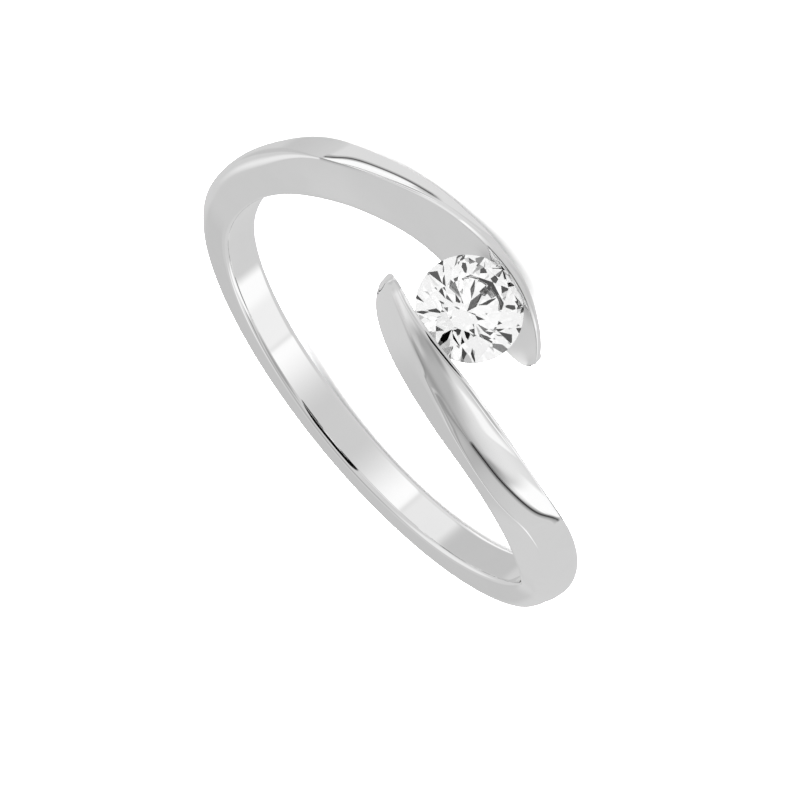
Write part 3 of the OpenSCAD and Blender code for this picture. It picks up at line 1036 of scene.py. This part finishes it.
# %% [markdown]
# ## The studio as a table
# Polished silver shows the studio more than itself: pale walls, white cards low in front, on the
# left and behind, and the dark opening that the camera looks through. Each could be a lit plane
# in the scene, but then moving one would hide another. They are written as a table of soft-edged
# panels in the world instead, by azimuth and elevation, and later rows lie over earlier ones. A
# clear stone needs something dark to break up its white, so the rays that have gone through it
# meet a second table, with the camera's opening and four narrow black bars.

# %% Table of panels
WALL_GREY = 207
PANELS = [
    # name, azimuth, elevation, half width, half height, side and end softness, slope, grey
    ("right low", 115, -45, 40, 22, 8, 8, 0, 220),
    ("front low", -177.5, -10, 51.5, 16, 1.5, 6, 0, 254),
    ("front low shade", -177, -12, 30, 20, 18, 6, 0, 204),
    ("left low", -104, -16, 22, 8, 4, 3, -0.2, 240),
    ("left low edge", -88, -20, 10, 8, 5, 3, -0.2, 253),
    ("right low card", 116, -12, 15, 10, 4, 4, 0, 232),
    ("right low shade", 70, -16, 30, 12, 6, 4, 0, 193),
    ("left wall", -126, 32, 17, 24, 8, 6, 0, 163),
    ("upper wall", -25, 68, 75, 17, 14, 8, 0, 180),
    ("back right card", 66, 40, 34, 22, 9, 9, 0, 234),
    ("back right low card", 50, -43, 27, 9, 3, 2, 0, 252),
    ("left shade", -84, 40, 11, 9, 5, 6, 0.5, 158),
    ("back left haze", -42, 39, 30, 10, 9, 10, 0.25, 228),
    ("back left card", -27, 39, 10, 6, 2, 3, 0.35, 249),
    ("left card", -77, 16, 20, 12, 3, 3, 0.15, 254),
    ("ceiling", 0, 57, 16, 4, 8, 3, 0, 160),
    ("back wall", 0, 30, 26, 10, 5, 5, 0.3, 201),
    ("back wall low", 3, 9, 8, 15, 5, 5, 0, 194),
    ("camera", -177, 28, 22, 32, 1, 1, 0, 5),
]
STONE_GREY = 260
STONE_PANELS = [
    ("camera", -177, 25, 12, 11, 1, 1, 0, 4),
    ("front bar", 150, 40, 5, 40, 1, 1, 0, 10),
    ("left bar", -130, 40, 5, 40, 1, 1, 0, 10),
    ("right bar", 100, 40, 5, 40, 1, 1, 0, 8),
    ("back bar", -60, 30, 5, 40, 1, 1, 0, 8),
]


def light_of(grey):
    """Radiance that shows as a display grey on metal: the display curve undone, over the metal's
    own reflectance."""
    v = grey / 255
    return (v / 12.92 if v < 0.04045 else ((v + 0.055) / 1.055) ** 2.4) / SILVER


print("light of the walls:", round(light_of(WALL_GREY), 3))

# %% [markdown]
# ## One soft panel
# A diffuser has no hard edge, so each panel fades at its sides and its ends. Seen from the ring,
# its mask is one at the middle and zero outside: a smooth step of the turn from its centre times
# a smooth step of the height, with a slope for panels that hang askew. One group does this for
# every row, which keeps the world's tree short.

# %% Group of a soft panel
panel, panel_in, panel_out = new_group(
    "soft_panel",
    {
        "Azimuth": 0.0, "Elevation": 0.0, "Centre Azimuth": 0.0, "Centre Elevation": 0.0,
        "Half Width": 20.0, "Half Height": 20.0, "Side Softness": 5.0, "End Softness": 5.0,
        "Slope": 0.0,
    },
    {"Mask": "NodeSocketFloat"},
)
aside = calc(panel, "SUBTRACT", panel_in["Azimuth"], panel_in["Centre Azimuth"])
aside = calc(panel, "WRAP", aside, 180.0, -180.0)
above = calc(panel, "SUBTRACT", panel_in["Elevation"], panel_in["Centre Elevation"])
above = calc(panel, "SUBTRACT", above, calc(panel, "MULTIPLY", aside, panel_in["Slope"]))
masks = []
for gap, half, soft in (
    (aside, panel_in["Half Width"], panel_in["Side Softness"]),
    (above, panel_in["Half Height"], panel_in["End Softness"]),
):
    masks.append(ramp(
        panel, calc(panel, "ABSOLUTE", gap),
        calc(panel, "SUBTRACT", half, soft), calc(panel, "ADD", half, soft), 1.0, 0.0,
    ))
put(panel, panel_out["Mask"], calc(panel, "MULTIPLY", masks[0], masks[1]))
print("soft_panel:", len(panel.nodes), "nodes")

# %% [markdown]
# ## The world
# Every ray that leaves the scene asks the world for its light, by its direction alone. So the
# direction is turned into an azimuth from +Y towards +X and an elevation, and the two tables are
# laid over their walls. The path of the ray decides between them: after the stone, the second.

# %% World
world = bpy.data.worlds.new("studio")
bpy.context.scene.world = world
world.use_nodes = True
tree = world.node_tree
ways = add_node(tree, "ShaderNodeTexCoord").outputs["Generated"]
ways = add_node(tree, "ShaderNodeSeparateXYZ", Vector=ways).outputs
azimuth = calc(tree, "DEGREES", calc(tree, "ARCTAN2", ways["X"], ways["Y"]))
elevation = calc(tree, "DEGREES", calc(tree, "ARCSINE", ways["Z"]))


def lit_by(panels, grey):
    """The grey of the walls with each panel of a table laid over it in turn."""
    light = light_of(grey)
    for name, az, el, half_az, half_el, soft_az, soft_el, slope, tone in panels:
        mask = use_group(
            tree, panel, name, Azimuth=azimuth, Elevation=elevation, Centre_Azimuth=az,
            Centre_Elevation=el, Half_Width=half_az, Half_Height=half_el,
            Side_Softness=soft_az, End_Softness=soft_el, Slope=slope,
        )["Mask"]
        light = blend(tree, mask, light, light_of(tone))
    return light


through_stone = add_node(tree, "ShaderNodeLightPath").outputs["Is Transmission Ray"]
light = blend(tree, through_stone, lit_by(PANELS, WALL_GREY), lit_by(STONE_PANELS, STONE_GREY))
sky = add_node(tree, "ShaderNodeCombineColor", Red=light, Green=light, Blue=light)
put(tree, tree.nodes["Background"].inputs["Color"], sky.outputs[0])
put(tree, tree.nodes["Background"].inputs["Strength"], 1.0)
print("panels:", len(PANELS), "for the metal and", len(STONE_PANELS), "through the stone")

# %% [markdown]
# ## The lamp
# The paper needs more light than the walls give, or it would turn grey. One wide round lamp over
# it does that evenly, and the metal, the stone and the camera don't see it.

# %% Lamp over the paper
LAMP_UP = 0.8
LAMP_SIZE = 6.0
LAMP_POWER = 500.0
lamp = bpy.data.objects.new("lamp", bpy.data.lights.new("lamp", "AREA"))
lamp.data.shape = "DISK"
lamp.data.size = LAMP_SIZE
lamp.data.energy = LAMP_POWER
lamp.location = (0, 0, LAMP_UP)
lamp.visible_camera = False
lamp.visible_glossy = False
lamp.visible_transmission = False
bpy.context.scene.collection.objects.link(lamp)
bpy.context.scene.view_settings.view_transform = "Standard"
print("lamp:", LAMP_POWER, "W at", LAMP_UP, "m")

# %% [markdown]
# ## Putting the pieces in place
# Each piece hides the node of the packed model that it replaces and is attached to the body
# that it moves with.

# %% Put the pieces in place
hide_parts("band")
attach(band, "root")
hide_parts("stone")
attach(stone, "root")
